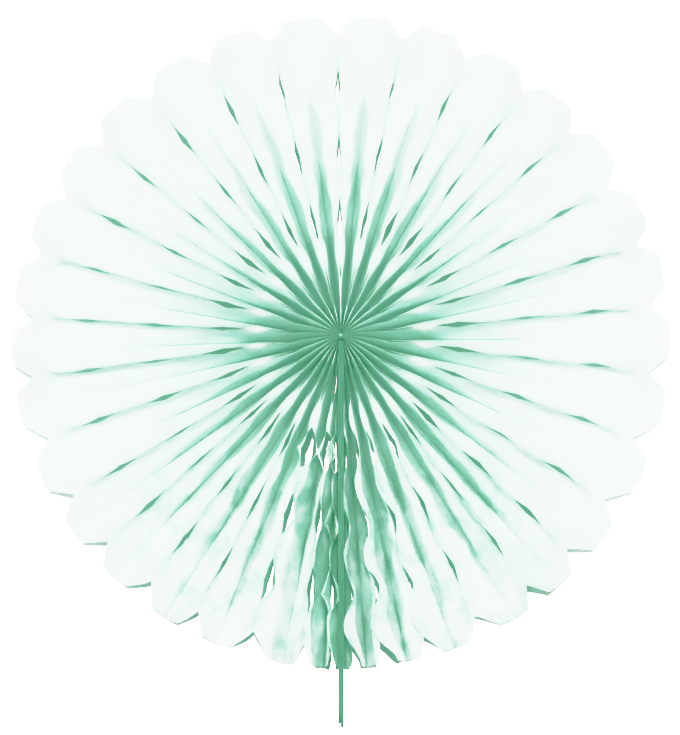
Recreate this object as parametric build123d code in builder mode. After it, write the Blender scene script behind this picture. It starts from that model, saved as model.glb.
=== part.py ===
"""Paper fan rosette: glued tissue cells opened to a full circle between two end cards.

The disc stands in the XZ plane with its front towards -Y, and its centre is the origin.
Each cell is a flattened tissue tube that runs from the centre to the rim. It has a front
fold and a back fold, both cut with a row of half diamonds and a corner chamfer, and it is
glued to the next cell along a narrow band at mid-depth. The two end cards meet face to
face under the centre and reach past the rim as a tail.
"""

import os
from math import asin, cos, degrees, hypot, pi, radians, sin, sqrt

from build123d import *

os.makedirs("parts", exist_ok=True)

# Driving dimensions, in millimetres
rosette_radius = 200.0
rim_fold_height = 7.6  # how far the folds of the widest cell stand off mid-depth at the rim
glue_band = 3.0  # width of the glued band between two cells
tissue_wall = 0.3  # stands in for tissue about 0.04 thick
hole_count = 4  # diamonds along each fold
first_hole_radius = 30.5
hole_pitch = 41.5
hole_length = 25.0
hole_cut = 6.0  # how deep each half diamond is cut in from the fold
notch_length = 12.0  # chamfer at the outer end of each fold, along the strip
notch_cut = 12.0  # and across it
card_thickness = 1.6
card_tail = 34.0  # what the cards reach past the rim
card_step = 2.5  # the left card stops short of the right one
card_corner = 4.0
bead_recess = 2.0  # the glue bead stops this far inside the folds

# Where each glued band lies, in degrees from the cards and anticlockwise from the front.
# The cells were pulled open by hand, tighter beside the cards and a little unevenly.
glue_line_angles = (
    *(4.5, 11.5, 20.0, 32.0, 41.5, 52.5, 65.0, 78.0),
    *(90.0, 102.5, 113.5, 126.5, 138.0, 150.0, 162.5, 174.5),
    *(187.0, 199.5, 211.5, 224.5, 236.5, 248.5, 260.0, 272.0),
    *(282.5, 295.0, 306.0, 316.5, 328.0, 337.5, 350.0, 357.0),
)

# What follows from them
cell_count = len(glue_line_angles) + 1
core_radius = (cell_count * 2 * tissue_wall + 2 * card_thickness) / (2 * pi)
core_card_angle = degrees(asin(card_thickness / core_radius))
core_cell_angle = (360 - 2 * core_card_angle) / cell_count
widest_opening = max(b - a for a, b in zip(glue_line_angles, glue_line_angles[1:]))
widest_half = rosette_radius * sin(radians(widest_opening / 2))
band_half = glue_band / 2
panel = hypot(widest_half, rim_fold_height - band_half)  # fold to glued band
strip_half = band_half + panel
strip_depth = 2 * strip_half
through = strip_depth + 4.0  # length of a cut that passes front and back
overrun = 1.25  # the rim chamfers run on past the rim by this share
mouth = 1.01  # and the hollow of a cell past its open end
loft_steps = 6


def in_disc(radius, angle):
    """Point at a radius and an angle from the cards, anticlockwise from the front."""
    return Vector(radius * sin(radians(angle)), 0, -radius * cos(radians(angle)))


def glue_line(index):
    """Inner and outer end of the line between two cells, or of a card's face."""
    core_angle = core_card_angle + index * core_cell_angle
    if index == 0:
        rim_angle = degrees(asin(card_thickness / rosette_radius))
    elif index == cell_count:
        rim_angle = 360 - degrees(asin(card_thickness / rosette_radius))
    else:
        rim_angle = glue_line_angles[index - 1]
    return in_disc(core_radius, core_angle), in_disc(rosette_radius, rim_angle)


def fold_height(half):
    """How far a fold stands off mid-depth where its glued band is this far to the side."""
    return band_half + sqrt(panel**2 - half**2)


def full_outline(half, wall=0.0):
    """Closed section of a whole cell: two folds and two glued bands, wall deep inside."""
    fold = fold_height(half)
    slope = (fold - band_half) / half
    tip = fold - wall * hypot(1, slope)
    side = half - wall
    edge = tip - side * slope
    return [(side, -edge), (side, edge), (0, tip), (-side, edge), (-side, -edge), (0, -tip)]


def end_outline(width, wall=0.0):
    """Closed section of an end cell, which lies flat on its card at x = 0."""
    fold = fold_height(width)
    slope = (fold - band_half) / width
    tip = fold - wall * hypot(1, slope)
    near, far = wall, width - wall
    return [
        (near, -tip + near * slope),
        (far, -tip + far * slope),
        (far, tip - far * slope),
        (near, tip - near * slope),
    ]


class Run:
    """The straight run of one cell from the core to the rim, between two lines of the disc.

    An outline's x starts from the first line, or from midway when the cell is a whole one.
    """

    def __init__(self, line, next_line, whole):
        self.line, self.next_line, self.whole = line, next_line, whole
        self.inner, outer = self.start(0), self.start(1)
        self.along = (outer - self.inner).normalized()
        self.length = (outer - self.inner).length

    def ends(self, part):
        return [inner + (outer - inner) * part for inner, outer in (self.line, self.next_line)]

    def start(self, part):
        near, far = self.ends(part)
        return (near + far) / 2 if self.whole else near

    def half(self, part):
        """Fold to glued band, measured in the plane of the disc."""
        near, far = self.ends(part)
        return (far - near).length / (2 if self.whole else 1)

    def section(self, part):
        """Plane across the run: x to the glued band, y through the disc."""
        near, far = self.ends(part)
        return Plane(self.start(part), far - near, (far - near).cross(Vector(0, 1, 0)))

    def cutting_plane(self):
        """Plane behind the disc: y along the run, outwards, and z to the front."""
        behind = self.inner + Vector(0, through / 2, 0)
        return Plane(behind, self.along.cross(Vector(0, -1, 0)), Vector(0, -1, 0))


def steps(start, end):
    """Places along a run, closer together where the folds drop faster."""
    return [start + (end - start) * sin(pi / 2 * i / loft_steps) for i in range(loft_steps + 1)]


def build_cell(run, outline, hollow_half):
    """One tissue cell: its folded tube, then the cuts through front and back folds."""
    hollow_start = (hollow_half - run.half(0)) / (run.half(1) - run.half(0))
    with BuildPart() as cell:
        for part in steps(0, 1):
            with BuildSketch(run.section(part)):
                Polygon(*outline(run.half(part)), align=None)
        loft(ruled=True)
        for part in steps(hollow_start, mouth):
            with BuildSketch(run.section(part)):
                Polygon(*outline(run.half(part), tissue_wall), align=None)
        loft(ruled=True, mode=Mode.SUBTRACT)
        with BuildSketch(run.cutting_plane()):
            for hole in range(hole_count):
                place = first_hole_radius + hole * hole_pitch - core_radius
                half = hole_cut * run.half(place / run.length) / panel
                with Locations((0, place)):
                    Polygon((half, 0), (0, hole_length / 2), (-half, 0), (0, -hole_length / 2))
            apex = run.length - notch_length
            base = apex + overrun * notch_length
            half = overrun * notch_cut * run.half(1) / panel
            Polygon((0, apex), (half, base), (-half, base), align=None)
        extrude(amount=through, mode=Mode.SUBTRACT)
    return cell


# Tissue cells, anticlockwise from the cards
lines = [glue_line(index) for index in range(cell_count + 1)]
for number in range(1, cell_count - 1):
    run = Run(lines[number], lines[number + 1], whole=True)
    cell = build_cell(run, full_outline, 2 * tissue_wall)
    cell.part.label = f"tissue_cell_{number:02d}"
    export_step(cell.part, f"parts/{cell.part.label}.step")

# End cells, each glued flat on its card
for side, card_line, band in (("right", lines[0], lines[1]), ("left", lines[-1], lines[-2])):
    cell = build_cell(Run(card_line, band, whole=False), end_outline, 3 * tissue_wall)
    cell.part.label = f"end_cell_{side}"
    export_step(cell.part, f"parts/{cell.part.label}.step")

# End cards, face to face on the YZ plane
for side, sign, short in (("right", 1, 0.0), ("left", -1, card_step)):
    tail_end = rosette_radius + card_tail - short
    with BuildPart() as card:
        with BuildSketch(Plane.YZ):
            with Locations((0, -(core_radius + tail_end) / 2)):
                Rectangle(strip_depth, tail_end - core_radius)
        extrude(amount=sign * card_thickness)
        fillet(card.edges().filter_by(Axis.X).group_by(Axis.Z)[0], card_corner)
    card.part.label = f"end_card_{side}"
    export_step(card.part, f"parts/{card.part.label}.step")

# Glue bead that bonds the inner ends of the cells and the cards
bead_radius = core_radius * cos(radians(core_cell_angle / 2))
with BuildPart() as bead:
    with BuildSketch(Plane.XZ.offset(-(strip_half - bead_recess))):
        Circle(bead_radius)
    extrude(amount=strip_depth - 2 * bead_recess)
bead.part.label = "centre_glue_bead"
export_step(bead.part, "parts/centre_glue_bead.step")

print(f"strip depth {strip_depth:.2f}, core radius {core_radius:.2f}, cells {cell_count}")
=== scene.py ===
"""Paper fan rosette: the looks of a glued tissue fan opened to a full circle.

The disc stands in the XZ plane with its front towards -Y and its centre at the origin.
Each cell is made from two cut strips of tissue, one on either side of its folds, laid
between the glued lines that the frame's own cell gives. Lengths are in metres.
"""

import math
import random

import bpy
from bpy.props import (
    FloatProperty,
    FloatVectorProperty,
    IntProperty,
    PointerProperty,
)
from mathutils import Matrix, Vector, noise


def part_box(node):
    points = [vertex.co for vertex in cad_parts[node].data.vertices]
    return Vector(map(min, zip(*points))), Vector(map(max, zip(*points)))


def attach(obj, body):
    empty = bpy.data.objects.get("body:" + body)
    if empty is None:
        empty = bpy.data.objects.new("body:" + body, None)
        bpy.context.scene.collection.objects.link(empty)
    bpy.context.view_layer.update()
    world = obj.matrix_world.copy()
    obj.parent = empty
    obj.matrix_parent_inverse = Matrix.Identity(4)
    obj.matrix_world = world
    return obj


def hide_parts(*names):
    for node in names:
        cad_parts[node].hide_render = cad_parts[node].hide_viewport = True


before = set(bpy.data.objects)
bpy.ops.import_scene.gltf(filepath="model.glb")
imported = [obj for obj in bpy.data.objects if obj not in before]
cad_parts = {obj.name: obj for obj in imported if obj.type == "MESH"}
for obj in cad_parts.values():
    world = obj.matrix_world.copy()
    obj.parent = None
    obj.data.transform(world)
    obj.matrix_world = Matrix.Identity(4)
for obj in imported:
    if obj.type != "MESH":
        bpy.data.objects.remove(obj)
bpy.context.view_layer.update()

bl_info = {
    "name": "Paper Fan Rosette",
    "version": (1, 0, 0),
    "blender": (4, 5, 0),
    "location": "3D View > Sidebar > Paper Fan",
    "description": "Builds a tissue paper fan rosette with its cards, centre knob and stage",
    "category": "Add Mesh",
}

CARD_NODES = ("end_card_right", "end_card_left")
BEAD_NODE = "centre_glue_bead"
WHOLE_CELLS = sorted(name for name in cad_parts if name.startswith("tissue_cell"))
END_CELLS = ("end_cell_right", "end_cell_left")
CELL_COUNT = len(WHOLE_CELLS) + len(END_CELLS)

card_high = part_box(CARD_NODES[0])[1]
STRIP_HALF = card_high.y  # from mid-depth to a fold at the centre
CARD_THICKNESS = card_high.x
CORE_RADIUS = -card_high.z
RIM_RADIUS = max(-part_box(name)[0].z for name in END_CELLS)
RIM_SHARE = 0.985  # points beyond this share of a cell's reach are at its rim

# Distances from the centre over which something starts or ends
FINS_CLOSE = (0.05, 0.11)  # the folds close up into standing fins
FINS_DEEPEN = (0.08, 0.11)  # the fins reach further down the panels
FOLDS_HANG = (0.04, 0.09)  # the folds at the sides start to hang down
CENTRE_PUFF = (0.05, 0.08)  # the panels of every cell stop being puffed out
UPPER_PUFF = (0.10, 0.12)  # and those above the centre
LOWER_PUFF = (0.16, 0.21)  # and those beside the cards
PANELS_FLATTEN = (0.165, 0.185)  # the panels turn flat towards the notched rim
FINS_RELEASE = 0.02  # length before the notch over which the fins open again
FULL_BOW = 0.1  # distance at which a fold bows by just the given amount
FULL_CREASES = 0.08  # distance from which the creases have their full height

# How far round from straight up and straight down the panels are puffed out
UPPER_PUFF_SPREAD = math.radians(24)
LOWER_PUFF_SPREAD = math.radians(40)

# Heights up a panel, as shares of the way from the glued line to the fold
FIN_FOOT = 0.5
FIN_FOOT_DROP = 0.3
FIN_FLANK = 0.4
CREASE_RISE = 3  # the creases have their full height from a third of the way

# How much one cell differs from another
PINCH_RANGE = (0.8, 1.1)
BOW_RANGE = (0.4, 1.4)
MOUTH_RANGE = (0.3, 1.5)

# The cells this near to the cards are crumpled, and the nearest ones on the left gape
HANDLED_SPREAD = math.radians(45)
GAPING_NEARNESS = 0.6
FIRST_RING_MOUTH = 0.15  # share of the mouth for the innermost diamonds
BACK_MOUTH = 0.2  # share of the mouth for the diamonds in the back folds
MOUTH_CURVE = 3  # power by which a panel turns aside towards a diamond's edge

# Waves per metre, and share of the crease height
CREASES = ((35, 1.0), (80, 0.5))
CARD_CREASES = (190, 0.12)

# Light that the view shows as full white, and the light of the backdrop
WHITE_LIGHT = 3.0

# How bright each level of red light is shown, and how green and blue differ from red
TONES = (
    (0.1, 0.085),
    (0.235, 0.14),
    (0.32, 0.185),
    (0.41, 0.28),
    (0.6, 0.64),
    (0.73, 0.80),
    (1.0, 0.90),
    (1.5, 0.94),
)
GRADE = ((1.0, 1.0, 1.0), (1.5, 0.88, 0.47), (1.3, 0.9, 0.68))  # gain, slope and power

FLOOR_WIDTH = 14
FLOOR_DROP = 1.1  # from the centre of the fan down to the floor
WALL_HEIGHT = 7
FRONT_LAMP_ANGLE = math.radians(12)  # how high the lamp over the camera stands
BACK_LAMP_ANGLE = math.radians(30)


def length(name, description, default):
    return FloatProperty(name=name, description=description, default=default, unit="LENGTH")


def power(name, description, default):
    return FloatProperty(name=name, description=description, default=default, unit="POWER")


def number(name, description, default):
    return FloatProperty(name=name, description=description, default=default)


def whole(name, description, default, least=1):
    return IntProperty(name=name, description=description, default=default, min=least)


def angle(name, description, degrees):
    return FloatProperty(
        name=name, description=description, default=math.radians(degrees), subtype="ANGLE"
    )


def share(name, description, default):
    return FloatProperty(
        name=name, description=description, default=default, subtype="FACTOR", min=0, max=1
    )


def tint(name, description, default):
    return FloatVectorProperty(
        name=name, description=description, default=default, subtype="COLOR", size=3, min=0, max=1
    )


class PaperFanTissue(bpy.types.PropertyGroup):
    """Sizes and colours of the tissue strips."""

    hole_count: whole("Holes", "Diamonds cut along each fold", 4)
    first_hole: length("First Hole", "From the centre to the middle of the first diamond", 0.0305)
    hole_pitch: length("Hole Pitch", "From one diamond to the next", 0.0415)
    hole_length: length("Hole Length", "Length of a diamond along the fold", 0.025)
    hole_cut: length("Hole Cut", "How deep a half diamond is cut in from the fold", 0.006)
    notch_length: length("Notch Length", "Corner chamfer along the strip", 0.012)
    notch_cut: length("Notch Cut", "Corner chamfer across the strip", 0.012)
    glue_band: length("Glue Band", "Width of the glued line between two cells", 0.003)
    inner_end: length("Inner End", "How near to the centre the strips reach", 0.0013)
    rows: whole("Rows", "Faces along one stretch of a strip", 9)
    columns: whole("Columns", "Faces from a glued line to a fold", 12, least=2)
    pinch: share("Pinch", "How far a fold stays closed between two diamonds", 0.85)
    gape: share("Gape", "How much of that closing is left at a diamond", 0.75)
    mouth: length("Mouth", "How far the edges of a diamond stand apart", 0.0006)
    card_mouth: length("Mouth at Cards", "The same for the cells left of the cards", 0.0055)
    puffed: number("Puffed", "Curve of a puffed panel; one is flat", 0.5)
    drawn: number("Drawn In", "Curve of a drawn-in panel; one is flat", 1.5)
    lean: length("Lean", "How far the folds at the sides hang down", 0.0018)
    crest_bow: length("Crest Bow", "How far a fold bows sideways between two diamonds", 0.0005)
    card_bow: length("Crest Bow at Cards", "The same beside the cards", 0.0032)
    crinkle: length("Crinkle", "Height of the soft creases", 0.0005)
    card_crinkle: length("Crinkle at Cards", "Height of the creases beside the cards", 0.0024)
    crease_seed: whole("Crease Seed", "Picks another set of creases", 5)
    colour: tint("Tissue", "Colour of the tissue", (0.66, 0.875, 0.805))
    clear: share("Clearness", "Share of the light that goes through one sheet", 0.32)


class PaperFanCard(bpy.types.PropertyGroup):
    """Sizes and colours of the cards and the centre knob."""

    bevel: length("Edge Bevel", "Rounding of the card's cut edges", 0.0005)
    corner: length("Tail Corner", "Rounding of the card's outer corners", 0.004)
    face_colour: tint("Card Face", "Colour of the card's faces", (0.30, 0.58, 0.46))
    edge_colour: tint("Card Edge", "Colour of the card's cut edges", (0.05, 0.14, 0.10))
    knob_radius: length("Knob Radius", "Radius of the knob of glue", 0.0024)
    knob_colour: tint("Knob", "Colour of the dried glue", (0.10, 0.33, 0.23))


class PaperFanStage(bpy.types.PropertyGroup):
    """Camera, lights and backdrop."""

    camera_height: angle("Camera Angle", "How far above the fan's level the camera stands", -7.5)
    camera_distance: length("Camera Distance", "From the camera to the fan", 2.75)
    view_height: length("View Height", "Height of the picture at the fan", 0.4468)
    aim_side: length("Aim Sideways", "Where the camera points, right of the centre", -0.0006)
    aim_height: length("Aim Height", "Where the camera points, above the centre", -0.0167)
    lamp_angle: angle("Lamp Angle", "How far round from the front the side lamps stand", 50)
    lamp_distance: length("Lamp Distance", "From each lamp to the fan", 1.8)
    lamp_size: length("Lamp Size", "Width of each soft box", 0.3)
    lamp_power: power("Lamp Power", "Power of each side lamp", 30.0)
    front_power: power("Front Power", "Power of the lamp over the camera", 36.0)
    back_power: power("Back Power", "Power of the lamp behind the fan", 16.0)
    fill: number("Fill", "Strength of the light from all round", 0.12)
    exposure: number("Exposure", "Exposure of the picture in stops", 0.0)


def deselect():
    if bpy.context.object and bpy.context.object.mode != "OBJECT":
        bpy.ops.object.mode_set(mode="OBJECT")
    bpy.ops.object.select_all(action="DESELECT")


def select(*objects):
    deselect()
    for piece in objects:
        piece.select_set(True)
    bpy.context.view_layer.objects.active = objects[0]


def select_edges(piece, wanted):
    """Goes into edit mode with just the edges whose two ends pass a test."""
    bpy.ops.object.mode_set(mode="EDIT")
    bpy.ops.mesh.select_mode(type="EDGE")
    bpy.ops.mesh.select_all(action="DESELECT")
    bpy.ops.object.mode_set(mode="OBJECT")
    for edge in piece.data.edges:
        edge.select = wanted(*(piece.data.vertices[i].co for i in edge.vertices))
    bpy.ops.object.mode_set(mode="EDIT")


def apply_transform():
    bpy.ops.object.transform_apply(location=True, rotation=True, scale=True)


def soften(piece, name, width, segments):
    """Rounds the sharp edges of a piece."""
    bevel = piece.modifiers.new(name, "BEVEL")
    bevel.width, bevel.segments, bevel.limit_method = width, segments, "ANGLE"
    bpy.ops.object.modifier_apply(modifier=bevel.name)


def settle(piece, node, material):
    """Gives a finished piece its material and its place in the frame."""
    piece.data.materials.clear()
    piece.data.materials.append(material)
    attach(piece, "root")
    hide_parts(node)


class Nodes:
    """Adds nodes to a material and links them."""

    def __init__(self, name):
        self.material = bpy.data.materials.new(name)
        self.material.use_nodes = True
        self.tree = self.material.node_tree
        self.tree.nodes.clear()

    def add(self, kind, inputs=None, **settings):
        node = self.tree.nodes.new(kind)
        for key, value in settings.items():
            setattr(node, key, value)
        for key, value in (inputs or {}).items():
            socket = node.inputs[key]
            if isinstance(value, bpy.types.NodeSocket):
                self.tree.links.new(value, socket)
            else:
                socket.default_value = value
        return node

    def maths(self, operation, *inputs):
        node = self.add("ShaderNodeMath", dict(enumerate(inputs)), operation=operation)
        return node.outputs[0]

    def axes(self, vector):
        return self.add("ShaderNodeSeparateXYZ", {"Vector": vector}).outputs

    def blend(self, factor, first, second):
        """Mixes two colours."""
        sockets = {0: factor, 6: first, 7: second}
        return self.add("ShaderNodeMix", sockets, data_type="RGBA").outputs[2]

    def ramp(self, value, low, high, start=0.0, end=1.0):
        """Goes smoothly from start to end while the value goes from low to high."""
        node = self.add(
            "ShaderNodeMapRange",
            {"Value": value, "From Min": low, "From Max": high, "To Min": start, "To Max": end},
            interpolation_type="SMOOTHSTEP",
        )
        return node.outputs["Result"]

    def cloud(self, place, scale, detail=3.0, roughness=0.55):
        sockets = {"Vector": place, "Scale": scale, "Detail": detail, "Roughness": roughness}
        return self.add("ShaderNodeTexNoise", sockets).outputs["Fac"]

    def bump(self, height, strength, distance):
        sockets = {"Strength": strength, "Distance": distance, "Height": height}
        return self.add("ShaderNodeBump", sockets).outputs[0]

    def paint(self, colour, roughness, specular=0.5, normal=None):
        sockets = {"Base Color": colour, "Roughness": roughness, "Specular IOR Level": specular}
        if normal:
            sockets["Normal"] = normal
        return self.add("ShaderNodeBsdfPrincipled", sockets).outputs[0]

    def mix(self, factor, first, second):
        """Mixes two shaders."""
        return self.add("ShaderNodeMixShader", {0: factor, 1: first, 2: second}).outputs[0]

    def finish(self, shader):
        self.add("ShaderNodeOutputMaterial", {"Surface": shader})
        return self.material


def rgba(colour, brightness=1.0):
    return (*(channel * brightness for channel in colour), 1.0)


def tissue_material(settings):
    """Matt mint tissue that lets some of the light through."""
    nodes = Nodes("mint_tissue")
    coordinates = nodes.add("ShaderNodeTexCoord").outputs
    place = coordinates["Object"]
    spot, laid = nodes.axes(place), nodes.axes(coordinates["UV"])
    plain = settings.colour

    # Clouds and fibres of the paper itself
    clouds = nodes.ramp(nodes.cloud(place, 45, 4), 0.3, 0.75)
    colour = nodes.blend(clouds, rgba(plain, 0.97), rgba(plain, 1.03))
    fibres = nodes.ramp(nodes.cloud(place, 1400, 2, 0.7), 0.25, 0.75, 0.0, 0.06)
    colour = nodes.blend(fibres, colour, rgba(plain, 0.6))

    # Darker along the glued line, in the middle of a strip's width, and at its outer end a thin
    # line of painted shade along the cut edge
    from_band = nodes.maths("ABSOLUTE", nodes.maths("SUBTRACT", laid["X"], 0.5))
    glued = nodes.ramp(from_band, 0.012, 0.03, 0.3, 0.0)
    rim = nodes.ramp(laid["Y"], 0.9955, 0.998, 0.0, 0.5)
    colour = nodes.blend(nodes.maths("MAXIMUM", glued, rim), colour, rgba(plain, 0.55))

    # Handled most, so crumpled most, around the cards: the creases are bumps, and the darker
    # patches there are painted shade of the crumples and of light through two sheets
    below = nodes.ramp(spot["Z"], -0.11, -0.03, 1.0, 0.0)
    aside = nodes.ramp(nodes.maths("ABSOLUTE", spot["X"]), 0.09, 0.16, 1.0, 0.0)
    handled = nodes.maths("MULTIPLY", below, aside)
    shade_patches = nodes.ramp(nodes.cloud(place, 55, 4, 0.6), 0.40, 0.66, 0.0, 0.7)
    two_sheet_shade = rgba([0.8 * channel**2 for channel in plain])  # light through two sheets
    colour = nodes.blend(nodes.maths("MULTIPLY", shade_patches, handled), colour, two_sheet_shade)

    crumples = nodes.maths("MULTIPLY", nodes.cloud(place, 95, 2, 0.5), handled)
    creases = nodes.maths("MULTIPLY_ADD", crumples, 3.0, nodes.cloud(place, 170, 3, 0.5))
    grain = nodes.cloud(place, 1100, 2, 0.6)
    normal = nodes.bump(nodes.maths("MULTIPLY_ADD", grain, 0.12, creases), 0.35, 0.0012)

    paper = nodes.paint(colour, 0.85, 0.08, normal)
    glow = nodes.add("ShaderNodeBsdfTranslucent", {"Color": colour, "Normal": normal})
    return nodes.finish(nodes.mix(settings.clear, paper, glow.outputs[0]))


def card_material(settings):
    """Matt board, with its plies showing on the cut edges."""
    nodes = Nodes("mint_card")
    place = nodes.add("ShaderNodeTexCoord").outputs["Object"]
    facing = nodes.axes(nodes.add("ShaderNodeNewGeometry").outputs["True Normal"])["X"]
    on_edge = nodes.ramp(nodes.maths("ABSOLUTE", facing), 0.5, 0.9, 1.0, 0.0)
    stretched = nodes.add("ShaderNodeMapping", {"Vector": place, "Scale": (22, 0.6, 0.6)})
    plies = nodes.cloud(stretched.outputs[0], 120, 2, 0.5)
    fibres = nodes.cloud(place, 900, 3, 0.6)

    dark_edge, pale_edge = (rgba(settings.edge_colour, part) for part in (0.6, 1.6))
    dark_face, pale_face = (rgba(settings.face_colour, part) for part in (0.9, 1.08))
    edge = nodes.blend(nodes.ramp(plies, 0.35, 0.65), dark_edge, pale_edge)
    face = nodes.blend(nodes.ramp(fibres, 0.3, 0.7), dark_face, pale_face)
    normal = nodes.bump(nodes.maths("MULTIPLY_ADD", fibres, 0.4, plies), 0.4, 0.0004)
    return nodes.finish(nodes.paint(nodes.blend(on_edge, face, edge), 0.8, 0.25, normal))


def glue_material(settings):
    """Dried glue, a little glossy and uneven."""
    nodes = Nodes("dried_glue")
    place = nodes.add("ShaderNodeTexCoord").outputs["Object"]
    clouds = nodes.cloud(place, 500, 3)
    dark, pale = (rgba(settings.knob_colour, part) for part in (0.7, 1.5))
    colour = nodes.blend(nodes.ramp(clouds, 0.3, 0.7), dark, pale)
    return nodes.finish(nodes.paint(colour, 0.4, 0.5, nodes.bump(clouds, 0.5, 0.0004)))


def backdrop_material():
    """White to the camera, and plain white paper to the light in the scene."""
    nodes = Nodes("backdrop")
    white = nodes.paint((0.9, 0.9, 0.9, 1), 0.9)
    bright = nodes.add("ShaderNodeEmission", {"Color": (1, 1, 1, 1), "Strength": WHITE_LIGHT})
    seen = nodes.add("ShaderNodeLightPath").outputs["Is Camera Ray"]
    return nodes.finish(nodes.mix(seen, white, bright.outputs[0]))


def once(name, make, settings):
    """The material of this name, which is made only the first time."""
    return bpy.data.materials.get(name) or make(settings)


def ease(value):
    """Smooth step from nought to one."""
    value = min(1.0, max(0.0, value))
    return value * value * (3 - 2 * value)


def starting(place, start, end):
    """Nought before the start and one past the end."""
    return ease((place - start) / (end - start))


def ending(place, start, end):
    """One before the start and nought past the end."""
    return ease((end - place) / (end - start))


def bell(offset, spread):
    return math.exp(-((offset / spread) ** 2))


def angle_from_cards(point):
    return math.atan2(point.x, -point.z) % (2 * math.pi)


def angle_to_cards(turn):
    """The shorter way round from an angle to the cards."""
    return min(turn, 2 * math.pi - turn)


def in_disc(radius, turn):
    return Vector((radius * math.sin(turn), 0, -radius * math.cos(turn)))


def outer_angles(node):
    """Angles of the two glued lines of a solid cell at the rim."""
    points = [v.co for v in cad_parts[node].data.vertices]
    reach = max(math.hypot(p.x, p.z) for p in points)
    rim = [angle_from_cards(p) for p in points if math.hypot(p.x, p.z) > RIM_SHARE * reach]
    return min(rim), max(rim)


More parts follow.
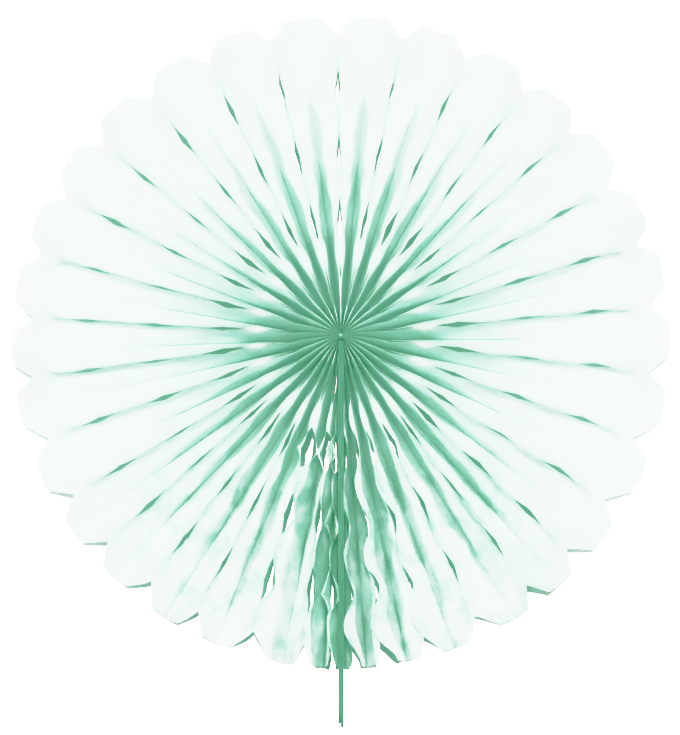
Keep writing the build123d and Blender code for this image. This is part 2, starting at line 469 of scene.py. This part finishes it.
class Cell:
    """One tissue cell between two glued lines of the disc, from the centre to the rim."""

    def __init__(self, node, index, tissue):
        self.node, self.tissue = node, tissue
        self.card_side = 0
        self.line_angles = outer_angles(node)
        share_of_core = 2 * math.pi / CELL_COUNT
        self.inner = [in_disc(tissue.inner_end, share_of_core * (index + side)) for side in (0, 1)]
        self.outer = [in_disc(RIM_RADIUS, turn) for turn in self.line_angles]
        if node == "end_cell_right":
            self.lay_on_card(0, 1)
        elif node == "end_cell_left":
            self.lay_on_card(1, -1)
        self.middle = sum(self.line_angles) / 2
        # Nought far from the cards, one beside them
        self.near_cards = max(0.0, 1 - angle_to_cards(self.middle) / HANDLED_SPREAD)

        chance = random.Random(index)
        self.pinch = tissue.pinch * chance.uniform(*PINCH_RANGE)
        bow = tissue.crest_bow + (tissue.card_bow - tissue.crest_bow) * self.near_cards
        self.bow = bow * chance.uniform(*BOW_RANGE)
        gaping = self.near_cards > GAPING_NEARNESS and self.middle > math.pi
        mouth = tissue.card_mouth if gaping else tissue.mouth
        self.mouths = [mouth * chance.uniform(*MOUTH_RANGE) for _ in range(tissue.hole_count)]
        self.mouths[0] *= FIRST_RING_MOUTH
        self.panel = STRIP_HALF - tissue.glue_band / 2

    def lay_on_card(self, side, sign):
        """Lays one side of the cell flat against its card."""
        self.card_side = sign
        self.inner[side] = Vector((sign * CARD_THICKNESS, 0, -CORE_RADIUS))
        self.outer[side] = Vector((sign * CARD_THICKNESS, 0, -RIM_RADIUS))

    def hole_middle(self, hole):
        return self.tissue.first_hole + hole * self.tissue.hole_pitch

    def inside_hole(self, place, hole):
        """One at the middle of a diamond, nought at its ends and negative past them."""
        return 1 - abs(place - self.hole_middle(hole)) / (self.tissue.hole_length / 2)

    def places(self):
        """Distances from the centre, with a row at each corner of the cut outline."""
        tissue = self.tissue
        corners = [tissue.inner_end]
        for hole in range(tissue.hole_count):
            middle = self.hole_middle(hole)
            corners += [middle - tissue.hole_length / 2, middle, middle + tissue.hole_length / 2]
        corners += [RIM_RADIUS - tissue.notch_length, RIM_RADIUS]
        rows = [corners[0]]
        for start, end in zip(corners, corners[1:]):
            reach = end - start
            rows += [start + reach * (step + 1) / tissue.rows for step in range(tissue.rows)]
        return rows

    def cut(self, place):
        """How much of the panel is cut away from the fold."""
        tissue = self.tissue
        past_notch = max(0.0, place - (RIM_RADIUS - tissue.notch_length))
        depth = past_notch / tissue.notch_length * tissue.notch_cut
        for hole in range(tissue.hole_count):
            depth = max(depth, self.inside_hole(place, hole) * tissue.hole_cut)
        return depth

    def opening(self, place):
        """How far a cut edge stands aside from where the pinched panel would lie."""
        tissue = self.tissue
        nearest = round((place - tissue.first_hole) / tissue.hole_pitch)
        hole = min(tissue.hole_count - 1, max(0, nearest))
        return self.mouths[hole] * max(0.0, self.inside_hole(place, hole))

    def between(self, place):
        """Nought at the middle of a diamond and one midway to the next."""
        turn = (place - self.tissue.first_hole) / self.tissue.hole_pitch
        return math.sin(math.pi * max(turn, -0.5)) ** 2

    def curve(self, place, side):
        """Power of a panel's curve: under one it is puffed out, over one drawn in."""
        tissue = self.tissue
        between = self.between(place)
        line = self.line_angles[0 if side < 0 else 1]
        above = bell(line - math.pi, UPPER_PUFF_SPREAD)
        below = bell(angle_to_cards(line), LOWER_PUFF_SPREAD)
        puff = above * ending(place, *UPPER_PUFF) + below * ending(place, *LOWER_PUFF)
        bend = tissue.drawn + (tissue.puffed - tissue.drawn) * min(1.0, puff) * between
        bend += (tissue.puffed - bend) * ending(place, *CENTRE_PUFF) * between
        return bend + (1 - bend) * starting(place, *PANELS_FLATTEN)

    def sway(self, place):
        """How far the fold lies aside: it bows between diamonds, and hangs at the sides."""
        if place < self.tissue.first_hole:
            return 0.0
        hang = self.tissue.lean * math.sin(self.middle) * starting(place, *FOLDS_HANG)
        return -self.bow * self.between(place) * place / FULL_BOW - hang

    def closed(self, place):
        """How far the upper part of the cell is pinched into a fin, from nought to one."""
        tissue = self.tissue
        between = self.between(place)
        # The innermost diamonds are shut, though the folds round them are not
        shut = 1 - between if place < FINS_CLOSE[0] else 0.0
        growth = max(shut, starting(place, *FINS_CLOSE))
        to_notch = ease((RIM_RADIUS - tissue.notch_length - place) / FINS_RELEASE)
        held = tissue.gape + (1 - tissue.gape) * between
        return self.pinch * growth * to_notch * held

    def point(self, place, side, face, up):
        """Point of the sheet at a distance from the centre.

        Side is -1 or 1, face is -1 in front and 1 behind, and up goes from 0 at the
        glued band to 1 at the fold.
        """
        tissue = self.tissue
        along = (place - tissue.inner_end) / (RIM_RADIUS - tissue.inner_end)
        near, far = (a.lerp(b, along) for a, b in zip(self.inner, self.outer))
        centre, reach = (near + far) / 2, (far - near) / 2
        half = reach.length
        outwards = reach / half
        band = tissue.glue_band / 2
        rise = math.sqrt(max(self.panel**2 - half**2, 0.0))
        foot = FIN_FOOT - FIN_FOOT_DROP * starting(place, *FINS_DEEPEN)
        fin = ease((up - foot) / FIN_FLANK) * self.closed(place)
        edge = 1 - self.cut(place) / self.panel
        mouth = self.opening(place) * (1.0 if face < 0 else BACK_MOUTH)
        spread = half * (1 - up) ** self.curve(place, side) * (1 - fin)
        spread += mouth * (up / edge) ** MOUTH_CURVE
        point = centre + outwards * (side * spread + self.sway(place) * up**2)
        point.y = face * (band + rise * up)
        point += self.crinkle(point, up)
        if self.card_side:
            # The sheet may not cross the face of its card
            point.x = self.card_side * max(self.card_side * point.x, CARD_THICKNESS)
        return point

    def crinkle(self, point, up):
        """Soft creases, none at the glued band and few at the centre."""
        tissue = self.tissue
        height = tissue.crinkle + (tissue.card_crinkle - tissue.crinkle) * self.near_cards
        from_centre = math.hypot(point.x, point.z)
        fade = min(1.0, up * CREASE_RISE) * min(1.0, from_centre / FULL_CREASES)
        wave = Vector()
        for waves, part in CREASES:
            wave += part * noise.noise_vector(point * waves)
        waves, part = CARD_CREASES
        wave += part * self.near_cards * noise.noise_vector(point * waves)
        return wave * height * fade


def strip(cell, side):
    """One cut strip of tissue: a grid from the front fold over the band to the back fold."""
    across = cell.tissue.columns
    columns = 2 * across + 1
    places = cell.places()
    rows = len(places) - 1
    bpy.ops.mesh.primitive_grid_add(x_subdivisions=columns, y_subdivisions=rows, size=1)
    sheet = bpy.context.object
    cuts = [cell.cut(place) / cell.panel for place in places]
    laid = []
    for vertex in sheet.data.vertices:
        column = round((vertex.co.x + 0.5) * columns)
        row = round((vertex.co.y + 0.5) * rows)
        face = -1 if column <= across else 1
        steps = across - column if face < 0 else column - across - 1
        up = steps / across * (1 - cuts[row])
        laid.extend(cell.point(places[row], side, face, up))
    sheet.data.vertices.foreach_set("co", laid)
    sheet.data.update()
    return sheet


def fold_cell(cell):
    """Two strips joined along their folds wherever nothing is cut away."""
    deselect()
    sheets = [strip(cell, side) for side in (-1, 1)]
    select(*sheets)
    bpy.ops.object.join()
    piece = bpy.context.object
    piece.name = piece.data.name = cell.node + "_sheet"
    bpy.ops.object.mode_set(mode="EDIT")
    bpy.ops.mesh.select_all(action="SELECT")
    bpy.ops.mesh.remove_doubles(threshold=0.00001)
    bpy.ops.mesh.normals_make_consistent(inside=False)
    bpy.ops.object.mode_set(mode="OBJECT")
    bpy.ops.object.shade_smooth_by_angle(angle=math.radians(40))
    return piece


def build_cells(tissue, places_in_row):
    """Folds the cell of each node, given its place in the row from the right card."""
    # Without a seed the creases would differ from one run to the next
    noise.seed_set(tissue.crease_seed)
    material = once("mint_tissue", tissue_material, tissue)
    for node, index in places_in_row.items():
        settle(fold_cell(Cell(node, index, tissue)), node, material)


class PAPERFAN_OT_tissue_cells(bpy.types.Operator):
    """Folds every whole tissue cell between its two glued lines"""

    bl_idname = "paperfan.tissue_cells"
    bl_label = "Tissue Cells"

    def execute(self, context):
        row = {node: index for index, node in enumerate(WHOLE_CELLS, 1)}
        build_cells(context.scene.paper_fan_tissue, row)
        return {"FINISHED"}


class PAPERFAN_OT_end_cells(bpy.types.Operator):
    """Folds the two end cells, each flat against its card"""

    bl_idname = "paperfan.end_cells"
    bl_label = "End Cells"

    def execute(self, context):
        row = dict(zip(END_CELLS, (0, CELL_COUNT - 1)))
        build_cells(context.scene.paper_fan_tissue, row)
        return {"FINISHED"}


class PAPERFAN_OT_end_cards(bpy.types.Operator):
    """Cuts the two stiff cards that end the row"""

    bl_idname = "paperfan.end_cards"
    bl_label = "End Cards"

    def execute(self, context):
        settings = context.scene.paper_fan_card
        for node in CARD_NODES:
            low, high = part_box(node)
            deselect()
            bpy.ops.mesh.primitive_cube_add(size=1, location=(low + high) / 2, scale=high - low)
            card = context.object
            card.name = card.data.name = node + "_board"
            apply_transform()

            def at_outer_corner(a, b):
                return max(abs(a.z - low.z), abs(b.z - low.z), abs(a.y - b.y)) < 1e-6

            select_edges(card, at_outer_corner)
            bpy.ops.mesh.bevel(offset=settings.corner, segments=8)
            bpy.ops.object.mode_set(mode="OBJECT")
            soften(card, "cut edges", settings.bevel, 2)
            bpy.ops.object.shade_smooth_by_angle(angle=math.radians(35))
            settle(card, node, once("mint_card", card_material, settings))
        return {"FINISHED"}


class PAPERFAN_OT_centre_knob(bpy.types.Operator):
    """Turns the knob of dried glue that bonds the inner ends"""

    bl_idname = "paperfan.centre_knob"
    bl_label = "Centre Knob"

    def execute(self, context):
        settings = context.scene.paper_fan_card
        low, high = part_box(BEAD_NODE)
        deselect()
        bpy.ops.mesh.primitive_cylinder_add(
            vertices=40,
            radius=settings.knob_radius,
            depth=high.y - low.y,
            location=(0, 0, 0),
            rotation=(math.pi / 2, 0, 0),
        )
        knob = context.object
        knob.name = knob.data.name = "centre_knob"
        apply_transform()
        soften(knob, "dome", settings.knob_radius * 0.7, 6)
        bpy.ops.object.shade_smooth_by_angle(angle=math.radians(60))
        settle(knob, BEAD_NODE, once("dried_glue", glue_material, settings))
        return {"FINISHED"}


def add_backdrop():
    """Pale floor that turns up into a wall behind the fan."""
    deselect()
    bpy.ops.mesh.primitive_plane_add(size=FLOOR_WIDTH, location=(0, 0, -FLOOR_DROP))
    floor = bpy.context.object
    floor.name = floor.data.name = "floor_sweep"
    select_edges(floor, lambda a, b: a.y > 0 and b.y > 0)
    rise = {"value": (0, 0, WALL_HEIGHT)}
    bpy.ops.mesh.extrude_region_move(TRANSFORM_OT_translate=rise)
    bpy.ops.object.mode_set(mode="OBJECT")
    apply_transform()
    floor.data.materials.append(backdrop_material())


def facing_fan(towards):
    """Rotation of a camera or lamp that stands this way from the fan."""
    return (-towards).to_track_quat("-Z", "Y").to_euler()


def add_camera(settings):
    aim = Vector((settings.aim_side, 0, settings.aim_height))
    tilt = settings.camera_height
    back = Vector((0, -math.cos(tilt), math.sin(tilt)))
    bpy.ops.object.camera_add(location=aim + back * settings.camera_distance)
    camera = bpy.context.object
    camera.rotation_euler = facing_fan(back)
    camera.data.sensor_width = 36.0
    camera.data.lens = camera.data.sensor_width * settings.camera_distance / settings.view_height
    camera.data.clip_end = 100
    bpy.context.scene.camera = camera


def add_lamps(settings):
    for name, across, height, strength in (
        ("lamp_left", -settings.lamp_angle, 0, settings.lamp_power),
        ("lamp_right", settings.lamp_angle, 0, settings.lamp_power),
        ("lamp_front", 0, FRONT_LAMP_ANGLE, settings.front_power),
        ("lamp_back", math.pi, BACK_LAMP_ANGLE, settings.back_power),
    ):
        towards = Vector((math.sin(across), -math.cos(across), math.sin(height)))
        bpy.ops.object.light_add(type="AREA", location=towards * settings.lamp_distance)
        lamp = bpy.context.object
        lamp.name = name
        lamp.rotation_euler = facing_fan(towards)
        lamp.data.shape, lamp.data.size = "DISK", settings.lamp_size
        lamp.data.energy = strength


def add_world(settings):
    """White where the camera looks past the sweep, and soft fill for everything else."""
    world = bpy.data.worlds.new("studio")
    world.use_nodes = True
    tree = world.node_tree
    background = tree.nodes["Background"]
    background.inputs["Color"].default_value = (1, 1, 1, 1)
    seen = tree.nodes.new("ShaderNodeLightPath").outputs["Is Camera Ray"]
    strength = tree.nodes.new("ShaderNodeMapRange")
    strength.inputs["To Min"].default_value = settings.fill
    strength.inputs["To Max"].default_value = WHITE_LIGHT
    tree.links.new(seen, strength.inputs["Value"])
    tree.links.new(strength.outputs["Result"], background.inputs["Strength"])
    bpy.context.scene.world = world


def set_tones(settings):
    """Deep mint folds and bright paper, a little under the white of the backdrop."""
    view = bpy.context.scene.view_settings
    view.view_transform = "Standard"
    view.exposure = settings.exposure
    view.use_curve_mapping = True
    mapping = view.curve_mapping
    mapping.white_level = (WHITE_LIGHT,) * 3
    for channel, (gain, slope, lift) in zip(mapping.curves, GRADE):
        for light, shown in TONES:
            channel.points.new(gain * light**slope / WHITE_LIGHT, shown**lift)
    mapping.update()


class PAPERFAN_OT_stage(bpy.types.Operator):
    """Sets up the pale floor and backdrop, the soft lamps and the camera"""

    bl_idname = "paperfan.stage"
    bl_label = "Stage"

    def execute(self, context):
        add_backdrop()
        for step in (add_camera, add_lamps, add_world, set_tones):
            step(context.scene.paper_fan_stage)
        return {"FINISHED"}


class PAPERFAN_PT_sidebar(bpy.types.Panel):
    """Lists the pieces of the fan"""

    bl_idname = "PAPERFAN_PT_sidebar"
    bl_label = "Paper Fan"
    bl_space_type = "VIEW_3D"
    bl_region_type = "UI"
    bl_category = "Paper Fan"

    def draw(self, context):
        layout = self.layout
        for group, operators in PANEL_ROWS:
            settings = getattr(context.scene, group)
            box = layout.box()
            for name in settings.__annotations__:
                box.prop(settings, name)
            for operator in operators:
                box.operator(operator.bl_idname)


GROUPS = (
    ("paper_fan_tissue", PaperFanTissue),
    ("paper_fan_card", PaperFanCard),
    ("paper_fan_stage", PaperFanStage),
)
PANEL_ROWS = (
    ("paper_fan_tissue", (PAPERFAN_OT_tissue_cells, PAPERFAN_OT_end_cells)),
    ("paper_fan_card", (PAPERFAN_OT_end_cards, PAPERFAN_OT_centre_knob)),
    ("paper_fan_stage", (PAPERFAN_OT_stage,)),
)
CLASSES = (
    *(group for _, group in GROUPS),
    *(operator for _, operators in PANEL_ROWS for operator in operators),
    PAPERFAN_PT_sidebar,
)


def register():
    for cls in CLASSES:
        bpy.utils.register_class(cls)
    for name, group in GROUPS:
        setattr(bpy.types.Scene, name, PointerProperty(type=group))


def unregister():
    for name, _ in reversed(GROUPS):
        delattr(bpy.types.Scene, name)
    for cls in reversed(CLASSES):
        bpy.utils.unregister_class(cls)


def main():
    register()
    bpy.ops.paperfan.tissue_cells()
    bpy.ops.paperfan.end_cells()
    bpy.ops.paperfan.end_cards()
    bpy.ops.paperfan.centre_knob()
    bpy.ops.paperfan.stage()


if __name__ == "__main__":
    main()
